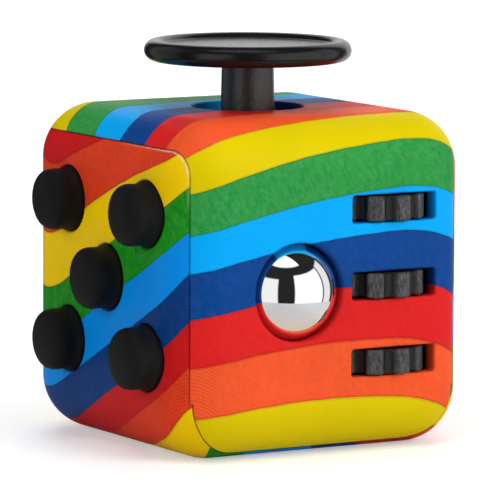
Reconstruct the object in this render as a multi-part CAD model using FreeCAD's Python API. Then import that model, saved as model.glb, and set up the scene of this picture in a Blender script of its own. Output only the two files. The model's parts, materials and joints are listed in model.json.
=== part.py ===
import FreeCAD, Part

import math
import os

# Fidget cube. Millimetres, +Z up, origin at the centre of the bottom face.
# Front (-Y): ball and three gears.  Left (-X): five buttons.  Top (+Z): thumb disc.
# Right (+X): spin dial.  Back (+Y): rocker switch.  Bottom (-Z): shallow thumb dish.

Vec = FreeCAD.Vector
X, Y, Z = Vec(1, 0, 0), Vec(0, 1, 0), Vec(0, 0, 1)

# Casing
SIDE = 33.0
HALF = SIDE / 2
EDGE_R = 5.5
WALL = 2.0
INNER = HALF - WALL
SEAM_GAP = 0.1
FAR = SIDE
SPIGOT = 1.0
SPIGOT_INSET = 0.6
TOUCH = 0.002

# Outline of the left and right walls, which belong to the lower shell
SIDE_PANEL_TOP = SIDE - 2.7
SIDE_PANEL_HALF = 14.75
SIDE_PANEL_CORNER_R = 2.6
# Outline of the front and back walls, which belong to the upper shell
FACE_PANEL_BOTTOM = 0.65
FACE_PANEL_HALF = 14.75
FACE_PANEL_CORNER_R = 5.3
FACE_PANEL_DEPTH = 3.9

# Thumb dish in the bottom face
DISH_R = 8.5
DISH_DEPTH = 1.4
DISH_BOSS_R = 10.0
DISH_EDGE_R = 0.4

# Screws that hold the inner plates to posts of the shells
POST_R = 1.2
SCREW_R = 0.5
SCREW_HEAD_R = 1.1
SCREW_HEAD = 0.6
SCREW_GRIP = 2.5

# Buttons: one in the middle and four round it
BUTTON_SPREAD_Y = 7.9
BUTTON_SPREAD_Z = 7.0
BUTTON_MIDDLE_Y = -1.0
BUTTON_MIDDLE_Z = HALF + 0.4
BUTTON_R = 3.23
BUTTON_HEIGHT = 3.2
BUTTON_FLANGE_R = 3.9
BUTTON_FLANGE = 0.8
BUTTON_STEM_R = 1.3
BUTTON_STEM = 0.75
BUTTON_HOLE_R = 3.31
BUTTON_HOLE_EDGE_R = 0.2
BUTTON_POCKET_R = 4.05
FLANGE_GAP = 0.05

# Silicone domes and the plate behind the buttons
DOME_R = 2.2
DOME_HEIGHT = 1.15
DOME_WALL = 0.3
DOME_SHEET = 0.4
DOME_MARGIN = 0.8
DOME_SHEET_HALF_Z = 9.5
DOME_SHEET_CORNER_R = 1.5
BUTTON_PLATE = 1.0
BUTTON_PLATE_HALF_Y = 12.4
BUTTON_PLATE_HALF_Z = 9.4
BUTTON_PLATE_CORNER_R = 2.5
BUTTON_POST_SPREAD_Y = 11.0
BUTTON_POST_SPREAD_Z = 8.3

# Thumb disc, its stem and the cross slide that carries them
TOP_HOLE_R = 5.57
TOP_HOLE_EDGE_R = 0.25
TOP_RING_R = 7.4
TOP_RING = 1.0
DISC_R = 10.34
DISC_RIM_R = 1.05
DISC_CENTRE_Z = SIDE + 5.56
DISC_DISH_DEPTH = 0.5
DISC_DISH_EDGE_R = 0.5
STEM_TOP_R = 2.59
STEM_FOOT_R = 2.75
FLANGE_R = 8.9
FLANGE = 1.0
TONGUE_HALF = 1.5
TONGUE_LENGTH = 8.8
TONGUE_DEPTH = 0.75
GUIDE_R = 8.2
GUIDE = 0.85
SLIDE_GAP = 0.06
GLIDE_TRAVEL = 1.9
GLIDE_BASE = 1.0
GLIDE_BASE_HALF = 11.2
GLIDE_BASE_CORNER_R = 2.0
GLIDE_SCREW_GRIP = 4.0
GLIDE_POST_SPREAD = 9.6
RING_WIDTH = 2.9
RING_THICKNESS = 0.8

# Ball, its cup and the bracket behind it
BALL_X = -3.66
BALL_Z = HALF - 0.2
BALL_R = 5.0
BALL_PROUD = 2.3
BALL_GAP = 0.07
BALL_LIP_R = 4.83
BALL_LIP_EDGE_R = 0.33
CUP_R = 5.5
CUP_RIM_BACK = 0.4
CUP_FLOOR = 1.0
CUP_CORNER_R = 1.5
CUP_STEM_R = 1.5
CUP_STEM = 3.9
CUP_SPRING_LENGTH = 3.2
SPRING_COIL_R = 2.45
SPRING_WIRE_R = 0.18
SPRING_TURNS = 4
SPRING_STEPS = 12
WIRE_SIDES = 8
BALL_BRACKET = 1.0
BALL_POST_X = 4.5
BALL_POST_Z = 6.9

# Gears, one above another on a steel axle
GEAR_X = 7.1
GEAR_PITCH_Z = 7.55
GEAR_R = 5.0
GEAR_ROOT_R = 4.3
GEAR_PROUD = 1.0
GEAR_THICKNESS = 2.45
GEAR_EDGE = 0.15
GEAR_TEETH = 10
GEAR_TOOTH_DEG = 7.5
GEAR_POINTS_PER_TOOTH = 12
TOOTH_BIAS = -0.35
TOOTH_SOFTNESS = 0.1
TOOTH_FULL = 0.975
GEAR_CLEAR = 0.5
GEAR_BORE_R = 1.06
AXLE_R = 1.0
AXLE_HOLE_R = 1.02
AXLE_EDGE = 0.2
SLOT_X = (2.33, 11.9)
SLOT_HALF = 1.385
SLOT_CORNER_R = 0.35
SLOT_EDGE_R = 0.2
BRACKET_ARM = 0.9
ARM_GAP = 0.15
BRACKET_X = (3.8, 10.4)
BRACKET_BACK = 1.0
BRACKET_FRONT_Y = -14.2
GEAR_LUG_X = 11.9
DETENT_STRIP = 0.15
DETENT_BUMP_R = 0.35
DETENT_LENGTH = 6.0
DETENT_WIDTH = 1.6

# Rocker switch of the back face
ROCKER_HALF_X = 4.0
ROCKER_R = 7.0
ROCKER_PIVOT_Y = 13.2
ROCKER_CROWN = 3.6
ROCKER_TILT_DEG = 12.0
ROCKER_FLOOR = 1.7
ROCKER_TAIL = 3.3
ROCKER_TAIL_HALF = 0.7
ROCKER_EDGE_R = 0.5
ROCKER_POST_X = 7.2
ROCKER_POST_Z = 5.0
LEAF = 0.15
LEAF_HALF_X = 1.5
LEAF_RIDGE_R = 0.3
ROCKER_PIN_R = 0.7
ROCKER_GAP = 0.12
WINDOW_HALF_Z = 7.15
WINDOW_EDGE_R = 0.2
HOUSING_WALL = 1.2
HOUSING_FRONT_Y = 8.3
HOUSING_HALF_Z = 8.6
HOUSING_GAP = 0.05

# Dial of the right face
DIAL_R = 7.4
DIAL_RECESS_R = 7.6
DIAL_RECESS = 0.9
DIAL_RECESS_EDGE_R = 0.2
DIAL_EDGE_R = 0.6
DIAL_PROUD = BUTTON_HEIGHT
DIAL_GAP = 0.1
DIAL_HUB_R = 2.4
DIAL_GRIPS = 16
DIAL_GRIP_R = 1.1
DIAL_GRIP_OUT = 0.8
DIAL_GRIP_START = 0.4
DIAL_DIMPLE_R = 3.2
DIAL_DIMPLE_DEPTH = 0.9
DIAL_DIMPLE_OUT = 3.85
DIAL_WASHER_R = 4.2
DIAL_WASHER = 0.9
DIAL_SCREW_HEAD_R = 1.8

# Centre post between floor and glide base
CORE_X = (-2.4, 2.4)
CORE_Y = (0.4, 5.2)
CORE_CORNER_R = 0.5
CORE_SPIGOT = 0.6
CORE_SPIGOT_INSET = 0.5


def block(x, y, z):
    """A box between pairs of limits."""
    return Part.makeBox(x[1] - x[0], y[1] - y[0], z[1] - z[0], Vec(x[0], y[0], z[0]))


def rod(radius, start, axis, length):
    return Part.makeCylinder(radius, length, start, axis)


def cone(radius_start, radius_end, start, axis, length):
    return Part.makeCone(radius_start, radius_end, length, start, axis)


def fuse(shapes):
    return shapes[0].multiFuse(shapes[1:]).removeSplitter()


def around(value, spread):
    """The two places at a spread either side of a value."""
    return (value - spread, value + spread)


def edges_along(shape, axis):
    """Straight edges of a shape that run parallel to an axis."""
    found = []
    for edge in shape.Edges:
        if isinstance(edge.Curve, Part.Line) and abs(edge.tangentAt(0).dot(axis)) > 0.999:
            found.append(edge)
    return found


def rounded(shape, radius, axis=None):
    """A shape with its edges rounded: those along one axis, or all of them."""
    return shape.makeFillet(radius, edges_along(shape, axis) if axis else shape.Edges)


def screw(head_start, axis, grip=SCREW_GRIP, head_r=SCREW_HEAD_R, head=SCREW_HEAD, shank_r=SCREW_R):
    """A pan-head screw: its head is under head_start and its shank runs along axis."""
    body = fuse([rod(head_r, head_start - axis * head, axis, head), rod(shank_r, head_start, axis, grip)])
    recess = rod(head_r * 0.45, head_start - axis * head, axis, head * 0.5)
    return body.cut(recess)


def rounded_cube(half, radius):
    return rounded(block((-half, half), (-half, half), (HALF - half, HALF + half)), radius)


# Where things are

BUTTON_PLACES = [
    (BUTTON_MIDDLE_Y + BUTTON_SPREAD_Y, BUTTON_MIDDLE_Z + BUTTON_SPREAD_Z),
    (BUTTON_MIDDLE_Y - BUTTON_SPREAD_Y, BUTTON_MIDDLE_Z + BUTTON_SPREAD_Z),
    (BUTTON_MIDDLE_Y, BUTTON_MIDDLE_Z),
    (BUTTON_MIDDLE_Y + BUTTON_SPREAD_Y, BUTTON_MIDDLE_Z - BUTTON_SPREAD_Z),
    (BUTTON_MIDDLE_Y - BUTTON_SPREAD_Y, BUTTON_MIDDLE_Z - BUTTON_SPREAD_Z),
]
BUTTON_STEM_END = -INNER + FLANGE_GAP + BUTTON_FLANGE + BUTTON_STEM
BUTTON_PLATE_X = BUTTON_STEM_END + FLANGE_GAP + DOME_HEIGHT + DOME_SHEET
BUTTON_POSTS = [(y, HALF) for y in around(0, BUTTON_POST_SPREAD_Y)]
BUTTON_POSTS += [(BUTTON_MIDDLE_Y, z) for z in around(BUTTON_MIDDLE_Z, BUTTON_POST_SPREAD_Z)]

FLANGE_TOP = SIDE - WALL - TOP_RING - FLANGE_GAP
FLANGE_BOTTOM = FLANGE_TOP - FLANGE
GUIDE_TOP = FLANGE_BOTTOM - SLIDE_GAP
GUIDE_BOTTOM = GUIDE_TOP - GUIDE
GLIDE_BASE_TOP = GUIDE_BOTTOM - SLIDE_GAP
GLIDE_BASE_BOTTOM = GLIDE_BASE_TOP - GLIDE_BASE
GLIDE_POSTS = [(x, y) for x in around(0, GLIDE_POST_SPREAD) for y in around(0, GLIDE_POST_SPREAD)]

BALL_CENTRE = Vec(BALL_X, -HALF - BALL_PROUD + BALL_R, BALL_Z)
CUP_BACK_Y = BALL_CENTRE.y + BALL_R + CUP_FLOOR
BALL_BRACKET_Y = CUP_BACK_Y + CUP_SPRING_LENGTH
BALL_POSTS = [(x, z) for x in around(BALL_X, BALL_POST_X) for z in around(BALL_Z, BALL_POST_Z)]

GEAR_Y = -HALF - GEAR_PROUD + GEAR_R
GEAR_NAMES = ("bottom", "middle", "top")
GEAR_HEIGHTS = [HALF + step * GEAR_PITCH_Z for step in (-1, 0, 1)]
ARM_HEIGHTS = [
    HALF - GEAR_PITCH_Z - GEAR_THICKNESS / 2 - ARM_GAP - BRACKET_ARM / 2,
    HALF - GEAR_PITCH_Z / 2,
    HALF + GEAR_PITCH_Z / 2,
    HALF + GEAR_PITCH_Z + GEAR_THICKNESS / 2 + ARM_GAP + BRACKET_ARM / 2,
]
GEAR_BACK_Y = GEAR_Y + GEAR_R + GEAR_CLEAR
GEAR_POST_HEIGHTS = ARM_HEIGHTS[1:3]

ROCKER_PIVOT = Vec(0, ROCKER_PIVOT_Y, HALF)
ROCKER_POSTS = [(x, z) for x in around(0, ROCKER_POST_X) for z in around(HALF, ROCKER_POST_Z)]
HOUSING_HALF_X = ROCKER_HALF_X + ROCKER_GAP + HOUSING_WALL

DIAL_START_X = HALF - DIAL_RECESS + DIAL_GAP


# Casing shells


def wedge(sign, grow):
    """Prism over the part of the plan that faces one side wall, between the two diagonals."""
    tip = -sign * grow * math.sqrt(2)
    reach = sign * FAR
    corners = [Vec(tip, 0, -FAR), Vec(tip + reach, -FAR, -FAR), Vec(tip + reach, FAR, -FAR)]
    return Part.Face(Part.makePolygon(corners + corners[:1])).extrude(Z * 3 * FAR)


def side_panel(grow):
    """Outline of the left and right walls, run through the cube along X."""
    half = SIDE_PANEL_HALF + grow
    outline = block((-FAR, FAR), (-half, half), (-FAR, SIDE_PANEL_TOP + grow))
    top_edges = [e for e in edges_along(outline, X) if e.CenterOfMass.z > 0]
    return outline.makeFillet(SIDE_PANEL_CORNER_R + grow, top_edges)


def face_panel(grow):
    """Outline of the front and back walls, only as deep as those walls."""
    half = FACE_PANEL_HALF - grow
    outline = block((-half, half), (-FAR, FAR), (FACE_PANEL_BOTTOM + grow, 2 * FAR))
    low_edges = [e for e in edges_along(outline, Y) if e.CenterOfMass.z < SIDE]
    outline = outline.makeFillet(FACE_PANEL_CORNER_R - grow, low_edges)
    depth = HALF - FACE_PANEL_DEPTH + grow
    return outline.cut(block((-FAR, FAR), (-depth, depth), (-FAR, 2 * FAR)))


def lower_region(grow):
    """The space that the lower shell takes, grown by a clearance."""
    sides = [wedge(sign, grow).common(side_panel(grow)) for sign in (-1, 1)]
    floor = block((-FAR, FAR), (-FAR, FAR), (-FAR, EDGE_R + 0.5)).cut(face_panel(grow))
    return fuse(sides + [floor])


def hollow_cube():
    return rounded_cube(HALF, EDGE_R).cut(rounded_cube(INNER, EDGE_R - WALL))


def lies_on(edge, surface):
    return all(Part.Vertex(p).distToShape(surface)[0] < TOUCH for p in edge.discretize(4))


def softened(shell, openings, radius):
    """A shell with its outer edges rounded where these openings break through."""
    skin = rounded_cube(HALF, EDGE_R).Shells[0]
    walls = [opening.Shells[0] for opening in openings]
    edges = [e for e in shell.Edges if not e.Degenerated and lies_on(e, skin)]
    return shell.makeFillet(radius, [e for e in edges if any(lies_on(e, wall) for wall in walls)])


def ball_hole():
    return rod(BALL_LIP_R, Vec(BALL_X, -HALF - 1, BALL_Z), Y, WALL)


def gear_slot(height):
    slot = block(SLOT_X, (-HALF - 1, -INNER + 1), around(height, SLOT_HALF))
    return rounded(slot, SLOT_CORNER_R, Y)


def top_hole():
    return rod(TOP_HOLE_R, Vec(0, 0, SIDE - WALL - TOP_RING - 1), Z, FAR)


def rocker_window():
    half_x = ROCKER_HALF_X + ROCKER_GAP
    window = block((-half_x, half_x), (INNER - 1, FAR), around(HALF, WINDOW_HALF_Z))
    return rounded(window, ROCKER_EDGE_R, Y)


def button_hole(y, z):
    return rod(BUTTON_HOLE_R, Vec(-HALF - 1, y, z), X, WALL + 1.5)


def dial_recess():
    return rod(DIAL_RECESS_R, Vec(HALF - DIAL_RECESS, 0, HALF), X, DIAL_RECESS + 1)


def thumb_dish():
    radius = (DISH_R**2 + DISH_DEPTH**2) / (2 * DISH_DEPTH)
    return Part.makeSphere(radius, Vec(0, 0, DISH_DEPTH - radius))


def post(start, axis, length):
    """A round screw post from inside a wall to a plate."""
    return rod(POST_R, start, axis, length)


def screw_hole(start, axis):
    return rod(SCREW_R, start, axis, SCREW_GRIP)


def upper_shell():
    shell = hollow_cube().cut(lower_region(SEAM_GAP))
    ring_z = SIDE - WALL - TOP_RING
    front_y = -INNER - WALL / 2
    ear_y = HOUSING_FRONT_Y + HOUSING_WALL
    added = [rod(TOP_RING_R, Vec(0, 0, ring_z), Z, TOP_RING + WALL / 2)]
    added += [post(Vec(x, y, GLIDE_BASE_TOP), Z, SIDE - WALL / 2 - GLIDE_BASE_TOP) for x, y in GLIDE_POSTS]
    added += [post(Vec(x, front_y, z), Y, BALL_BRACKET_Y - front_y) for x, z in BALL_POSTS]
    added += [post(Vec(GEAR_LUG_X, front_y, z), Y, GEAR_BACK_Y - front_y) for z in GEAR_POST_HEIGHTS]
    added += [post(Vec(x, ear_y, z), Y, INNER + WALL / 2 - ear_y) for x, z in ROCKER_POSTS]
    shell = fuse([shell] + added)
    slots = [gear_slot(z) for z in GEAR_HEIGHTS]
    ball_seat = Part.makeSphere(BALL_R + BALL_GAP, BALL_CENTRE)
    cuts = slots + [ball_hole(), ball_seat, top_hole(), rocker_window()]
    cuts += [screw_hole(Vec(x, y, GLIDE_BASE_TOP), Z) for x, y in GLIDE_POSTS]
    cuts += [screw_hole(Vec(x, BALL_BRACKET_Y, z), -Y) for x, z in BALL_POSTS]
    cuts += [screw_hole(Vec(GEAR_LUG_X, GEAR_BACK_Y, z), -Y) for z in GEAR_POST_HEIGHTS]
    cuts += [screw_hole(Vec(x, ear_y, z), Y) for x, z in ROCKER_POSTS]
    shell = shell.cut(cuts).common(rounded_cube(HALF, EDGE_R))
    shell = softened(shell, slots, SLOT_EDGE_R)
    shell = softened(shell, [rocker_window()], WINDOW_EDGE_R)
    shell = softened(shell, [ball_hole()], BALL_LIP_EDGE_R)
    return softened(shell, [top_hole()], TOP_HOLE_EDGE_R)


def lower_shell():
    shell = hollow_cube().common(lower_region(0))
    left_x = -INNER - WALL / 2
    boss = rod(DISH_BOSS_R, Vec(0, 0, WALL / 2), Z, WALL / 2 + DISH_DEPTH)
    posts = [post(Vec(left_x, y, z), X, BUTTON_PLATE_X - left_x) for y, z in BUTTON_POSTS]
    shell = fuse([shell, boss] + posts)
    button_holes = [button_hole(y, z) for y, z in BUTTON_PLACES]
    cuts = button_holes + [thumb_dish(), dial_recess()]
    cuts += [rod(BUTTON_POCKET_R, Vec(-INNER, y, z), X, 2 * WALL) for y, z in BUTTON_PLACES]
    cuts += [screw_hole(Vec(BUTTON_PLATE_X, y, z), -X) for y, z in BUTTON_POSTS]
    cuts.append(rod(DIAL_HUB_R + DIAL_GAP, Vec(INNER - 1, 0, HALF), X, WALL + 1))
    cuts.append(core_spigot(WALL + DISH_DEPTH - CORE_SPIGOT))
    shell = shell.cut(cuts).common(rounded_cube(HALF, EDGE_R))
    shell = softened(shell, button_holes, BUTTON_HOLE_EDGE_R)
    shell = softened(shell, [dial_recess()], DIAL_RECESS_EDGE_R)
    return softened(shell, [thumb_dish()], DISH_EDGE_R)


# Buttons


def button(y, z):
    """Silicone button: crowned head, faint waist, skirt in the hole, flange and stem behind."""
    face = Vec(-HALF, y, z)
    back = WALL + FLANGE_GAP
    crown = [(BUTTON_HEIGHT, 0.0), (3.13, 1.2), (2.98, 2.0), (2.72, 2.6), (2.3, 2.93)]
    head = crown + [(1.7, 3.04), (0.8, 3.03), (0.2, BUTTON_R)]
    points = [face - X * along + Z * radius for along, radius in head]
    curve = Part.BSplineCurve()
    curve.interpolate(points, InitialTangent=Z, FinalTangent=(X * 2 + Z).normalize())
    rest = [
        (-back, BUTTON_R),
        (-back, BUTTON_FLANGE_R),
        (-back - BUTTON_FLANGE, BUTTON_FLANGE_R),
        (-back - BUTTON_FLANGE, BUTTON_STEM_R),
        (-back - BUTTON_FLANGE - BUTTON_STEM, BUTTON_STEM_R),
        (-back - BUTTON_FLANGE - BUTTON_STEM, 0.0),
    ]
    corners = [points[-1]] + [face - X * along + Z * radius for along, radius in rest] + [points[0]]
    wire = Part.Wire([curve.toShape()] + Part.makePolygon(corners).Edges)
    return Part.Face(wire).revolve(face, X, 360)


def dome(y, z):
    """Outside and hollow of one dome of the silicone sheet, pointing at its button."""
    foot = BUTTON_PLATE_X - DOME_SHEET
    outer_r = (DOME_R**2 + DOME_HEIGHT**2) / (2 * DOME_HEIGHT)
    centre = Vec(foot - DOME_HEIGHT + outer_r, y, z)
    outer = Part.makeSphere(outer_r, centre)
    inner = Part.makeSphere(outer_r - DOME_WALL, centre)
    outer_space = block((-HALF, foot), (-HALF, HALF), (0, SIDE))
    inner_space = block((-HALF, BUTTON_PLATE_X), (-HALF, HALF), (0, SIDE))
    return outer.common(outer_space), inner.common(inner_space)


def dome_sheet():
    sheet = block(
        (BUTTON_PLATE_X - DOME_SHEET, BUTTON_PLATE_X),
        around(BUTTON_MIDDLE_Y, BUTTON_SPREAD_Y + DOME_R + DOME_MARGIN),
        around(BUTTON_MIDDLE_Z, DOME_SHEET_HALF_Z),
    )
    domes = [dome(y, z) for y, z in BUTTON_PLACES]
    cuts = [inner for _, inner in domes]
    cuts += [rod(POST_R + 0.1, Vec(-HALF, y, z), X, HALF) for y, z in BUTTON_POSTS]
    return rounded(sheet, DOME_SHEET_CORNER_R, X).multiFuse([outer for outer, _ in domes]).cut(cuts)


def button_plate():
    plate = block(
        (BUTTON_PLATE_X, BUTTON_PLATE_X + BUTTON_PLATE),
        around(0, BUTTON_PLATE_HALF_Y),
        around(BUTTON_MIDDLE_Z, BUTTON_PLATE_HALF_Z),
    )
    holes = [rod(SCREW_R, Vec(BUTTON_PLATE_X, y, z), X, BUTTON_PLATE) for y, z in BUTTON_POSTS]
    return rounded(plate, BUTTON_PLATE_CORNER_R, X).cut(holes)


# Thumb disc and its cross slide


def thumb_disc():
    """Disc with a fully rounded rim round a shallow dish, and a blind socket for the stem."""
    rim_centre = DISC_R - DISC_RIM_R
    bottom = DISC_CENTRE_Z - DISC_RIM_R
    floor_z = DISC_CENTRE_Z + DISC_RIM_R - DISC_DISH_DEPTH
    rim = Part.makeTorus(rim_centre, DISC_RIM_R, Vec(0, 0, DISC_CENTRE_Z))
    disc = fuse([rod(rim_centre, Vec(0, 0, bottom), Z, floor_z - bottom), rim])
    corner = [e for e in disc.Edges if abs(e.BoundBox.ZMin - floor_z) < TOUCH and e.BoundBox.ZLength < TOUCH]
    return disc.makeFillet(DISC_DISH_EDGE_R, corner).cut(stem_spigot(bottom))


def stem_spigot(low):
    """The reduced top end of the stem, which sits in the disc."""
    return rod(STEM_TOP_R - SPIGOT_INSET, Vec(0, 0, low), Z, SPIGOT)


def glide_stem():
    """Slightly tapered post from the flange up to the disc, with a spigot in the disc's socket."""
    disc_bottom = DISC_CENTRE_Z - DISC_RIM_R
    post_height = disc_bottom - FLANGE_TOP
    foot = cone(STEM_FOOT_R, STEM_TOP_R, Vec(0, 0, FLANGE_TOP), Z, post_height)
    bore = rod(SCREW_R, Vec(0, 0, FLANGE_TOP), Z, GLIDE_SCREW_GRIP)
    return fuse([foot, stem_spigot(disc_bottom)]).cut(bore)


def glide_flange():
    """Round washer with a tongue along X underneath, and a counterbored screw hole."""
    plate = rod(FLANGE_R, Vec(0, 0, FLANGE_BOTTOM), Z, FLANGE)
    tongue = block(
        around(0, TONGUE_LENGTH / 2), around(0, TONGUE_HALF), (FLANGE_BOTTOM - TONGUE_DEPTH, FLANGE_BOTTOM)
    )
    hole = rod(SCREW_R, Vec(0, 0, FLANGE_BOTTOM - TONGUE_DEPTH), Z, FLANGE + TONGUE_DEPTH)
    counterbore = rod(SCREW_HEAD_R + 0.05, Vec(0, 0, FLANGE_BOTTOM - TONGUE_DEPTH), Z, TONGUE_DEPTH)
    return fuse([plate, tongue]).cut([hole, counterbore])


def glide_screw():
    return screw(Vec(0, 0, FLANGE_BOTTOM), Z, grip=GLIDE_SCREW_GRIP)


def glide_guide():
    """Middle plate: a slot along X for the flange's tongue, and its own tongue along Y below."""
    plate = rod(GUIDE_R, Vec(0, 0, GUIDE_BOTTOM), Z, GUIDE)
    tongue = block(
        around(0, TONGUE_HALF), around(0, TONGUE_LENGTH / 2), (GUIDE_BOTTOM - TONGUE_DEPTH, GUIDE_BOTTOM)
    )
    slot = block(
        around(0, TONGUE_LENGTH / 2 + GLIDE_TRAVEL + SLIDE_GAP),
        around(0, TONGUE_HALF + SLIDE_GAP),
        (GUIDE_BOTTOM, GUIDE_TOP),
    )
    return fuse([plate, tongue]).cut(slot)


def glide_base():
    """Square base plate with a slot along Y, hung from four posts of the upper shell."""
    plate = block(
        around(0, GLIDE_BASE_HALF), around(0, GLIDE_BASE_HALF), (GLIDE_BASE_BOTTOM, GLIDE_BASE_TOP)
    )
    slot = block(
        around(0, TONGUE_HALF + SLIDE_GAP),
        around(0, TONGUE_LENGTH / 2 + GLIDE_TRAVEL + SLIDE_GAP),
        (GLIDE_BASE_BOTTOM, GLIDE_BASE_TOP),
    )
    holes = [rod(SCREW_R, Vec(x, y, GLIDE_BASE_BOTTOM), Z, GLIDE_BASE) for x, y in GLIDE_POSTS]
    return rounded(plate, GLIDE_BASE_CORNER_R, Z).cut([slot] + holes)


def centring_ring():
    start = Vec(0, 0, FLANGE_BOTTOM + 0.1)
    outer = rod(FLANGE_R + SLIDE_GAP + RING_WIDTH, start, Z, RING_THICKNESS)
    return outer.cut(rod(FLANGE_R + SLIDE_GAP, start, Z, RING_THICKNESS))


# Ball


def roller_ball():
    return Part.makeSphere(BALL_R, BALL_CENTRE)


def ball_cup():
    """Socket round the back half of the ball, with a guide stem behind."""
    rim_y = BALL_CENTRE.y + CUP_RIM_BACK
    body = rod(CUP_R, Vec(BALL_X, rim_y, BALL_Z), Y, CUP_BACK_Y - rim_y)
    stem = rod(CUP_STEM_R, Vec(BALL_X, CUP_BACK_Y, BALL_Z), Y, CUP_STEM)
    body = body.makeFillet(CUP_CORNER_R, [e for e in body.Edges if abs(e.CenterOfMass.y - CUP_BACK_Y) < 0.01])
    return fuse([body, stem]).cut(Part.makeSphere(BALL_R + BALL_GAP, BALL_CENTRE))


def ball_spring():
    """Coil spring round the cup's stem, drawn at its length with the ball out; its wire is eight-sided."""
    length = CUP_SPRING_LENGTH - 2 * SPRING_WIRE_R - 2 * SLIDE_GAP
    low = CUP_BACK_Y + SPRING_WIRE_R + SLIDE_GAP
    steps = SPRING_TURNS * SPRING_STEPS
    points = []
    for step in range(steps + 1):
        angle = 2 * math.pi * step / SPRING_STEPS
        x = BALL_X + SPRING_COIL_R * math.cos(angle)
        z = BALL_Z + SPRING_COIL_R * math.sin(angle)
        points.append(Vec(x, low + length * step / steps, z))
    path = Part.BSplineCurve()
    path.interpolate(points)
    section = []
    for corner in range(WIRE_SIDES + 1):
        angle = 2 * math.pi * (corner + 0.5) / WIRE_SIDES
        section.append(points[0] + (X * math.cos(angle) + Y * math.sin(angle)) * SPRING_WIRE_R)
    return Part.Wire(path.toShape()).makePipeShell([Part.makePolygon(section)], True, True)


def ball_bracket():
    """Bridge plate on four posts, with a running bore for the cup's stem."""
    plate = block(
        around(BALL_X, BALL_POST_X + POST_R),
        (BALL_BRACKET_Y, BALL_BRACKET_Y + BALL_BRACKET),
        around(BALL_Z, BALL_POST_Z + POST_R),
    )
    bore = rod(CUP_STEM_R + SLIDE_GAP, Vec(BALL_X, BALL_BRACKET_Y, BALL_Z), Y, BALL_BRACKET)
    holes = [rod(SCREW_R, Vec(x, BALL_BRACKET_Y, z), Y, BALL_BRACKET) for x, z in BALL_POSTS]
    return rounded(plate, POST_R, Y).cut([bore] + holes)


# Gears


def tooth_radius(degrees):
    """Radius of the wheel's outline: broad rounded teeth with rounded valleys between them."""
    wave = math.cos(math.radians(GEAR_TEETH * (degrees - GEAR_TOOTH_DEG))) - TOOTH_BIAS
    squared = wave / math.sqrt(wave**2 + TOOTH_SOFTNESS) / TOOTH_FULL
    return (GEAR_R + GEAR_ROOT_R) / 2 + squared * (GEAR_R - GEAR_ROOT_R) / 2


def gear(height):
    """Toothed wheel, its angles counted from the front (-Y) towards the right (+X)."""
    count = GEAR_TEETH * GEAR_POINTS_PER_TOOTH
    step = 360 / count
    points = []
    for index in range(count):
        angle = math.radians(index * step)
        radius = tooth_radius(index * step)
        points.append(Vec(GEAR_X + radius * math.sin(angle), GEAR_Y - radius * math.cos(angle), 0))
    outline = Part.BSplineCurve()
    outline.interpolate(points, PeriodicFlag=True)
    face = Part.Face(Part.Wire(outline.toShape()))
    wheel = face.extrude(Z * GEAR_THICKNESS)
    wheel = wheel.makeChamfer(GEAR_EDGE, [e for e in wheel.Edges if e.BoundBox.ZLength < 0.01])
    wheel = wheel.cut(rod(GEAR_BORE_R, Vec(GEAR_X, GEAR_Y, 0), Z, GEAR_THICKNESS))
    wheel.translate(Z * (height - GEAR_THICKNESS / 2))
    return wheel


def gear_axle():
    low = ARM_HEIGHTS[0] - BRACKET_ARM / 2
    high = ARM_HEIGHTS[-1] + BRACKET_ARM / 2
    pin = rod(AXLE_R, Vec(GEAR_X, GEAR_Y, low), Z, high - low)
    return pin.makeChamfer(AXLE_EDGE, [e for e in pin.Edges if e.BoundBox.ZLength < 0.01])


def gear_bracket():
    """Comb: a back plate with an arm above and below each gear, and two screw lugs."""
    back = block(
        BRACKET_X,
        (GEAR_BACK_Y, GEAR_BACK_Y + BRACKET_BACK),
        (ARM_HEIGHTS[0] - BRACKET_ARM / 2, ARM_HEIGHTS[-1] + BRACKET_ARM / 2),
    )
    arms = [block(BRACKET_X, (BRACKET_FRONT_Y, GEAR_BACK_Y), around(z, BRACKET_ARM / 2)) for z in ARM_HEIGHTS]
    lugs = [
        block(
            (BRACKET_X[1], GEAR_LUG_X + POST_R),
            (GEAR_BACK_Y, GEAR_BACK_Y + BRACKET_BACK),
            around(z, POST_R),
        )
        for z in GEAR_POST_HEIGHTS
    ]
    axle_hole = rod(AXLE_HOLE_R, Vec(GEAR_X, GEAR_Y, 0), Z, SIDE)
    holes = [rod(SCREW_R, Vec(GEAR_LUG_X, GEAR_BACK_Y, z), Y, BRACKET_BACK) for z in GEAR_POST_HEIGHTS]
    return fuse([back] + arms + lugs).cut([axle_hole] + holes)


def gear_detent(height):
    """Leaf spring across the back plate, its bump drawn just clear of the gear's teeth."""
    strip_y = GEAR_BACK_Y - DETENT_STRIP
    strip = block(
        around(GEAR_X, DETENT_LENGTH / 2), (strip_y, GEAR_BACK_Y), around(height, DETENT_WIDTH / 2)
    )
    bump_start = Vec(GEAR_X, strip_y, height - DETENT_WIDTH / 2)
    bump = rod(DETENT_BUMP_R, bump_start, Z, DETENT_WIDTH)
    behind = block((0, HALF), (GEAR_BACK_Y, 0), (0, SIDE))
    return fuse([strip, bump]).cut(behind)


def gear_detents():
    return Part.makeCompound([gear_detent(z) for z in GEAR_HEIGHTS])


# Rocker switch


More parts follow.
